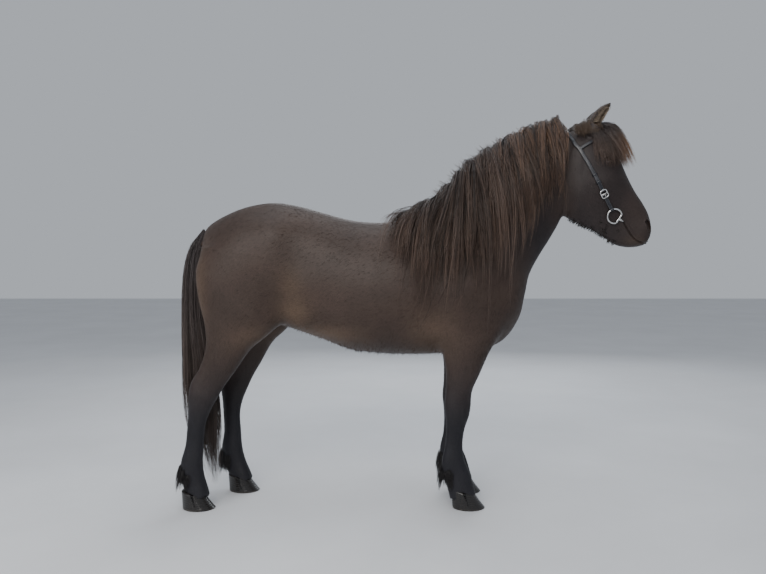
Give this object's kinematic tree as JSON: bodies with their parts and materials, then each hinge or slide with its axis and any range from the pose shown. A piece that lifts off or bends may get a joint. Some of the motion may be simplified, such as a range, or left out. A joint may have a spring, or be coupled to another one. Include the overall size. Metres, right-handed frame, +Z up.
{
  "type": "icelandic horse",
  "caption": "Life-size standing Icelandic horse, a still model with a dark coat, full mane, forelock and tail, wearing a plain bridle without reins.",
  "frame": {"origin": "on the floor under the middle of the horse's box", "axes": "+X towards the nose, +Y to the horse's left, +Z up"},
  "size_m": [2.2464, 0.5344, 1.869],
  "materials": {
    "coat": "short flat hair, dark seal brown to black",
    "long_hair": "long hair, black brown with sun-bleached ends",
    "eye": "wet gloss",
    "hoof": "dark oiled horn",
    "bridle_leather": "smooth black strap leather",
    "bridle_metal": "polished"
  },
  "bodies": {
    "root": {"torso": "coat", "head": "coat", "ear_right": "coat", "ear_left": "coat", "foreleg_right": "coat", "foreleg_left": "coat", "hindleg_right": "coat", "hindleg_left": "coat", "neck": "long_hair", "tail": "long_hair", "eye_right": "eye", "hoof_fore_right": "hoof", "hoof_hind_right": "hoof", "bridle_cheekpiece_right": "bridle_leather", "bridle_keeper_right": "bridle_metal", "bridle_buckle_right": "bridle_metal", "bit_right": "bridle_metal", "eye_left": "eye", "hoof_fore_left": "hoof", "hoof_hind_left": "hoof", "bridle_cheekpiece_left": "bridle_leather", "bridle_keeper_left": "bridle_metal", "bridle_buckle_left": "bridle_metal", "bit_left": "bridle_metal", "bridle_headpiece": "bridle_leather", "bridle_browband": "bridle_leather"}
  },
  "joints": []
}
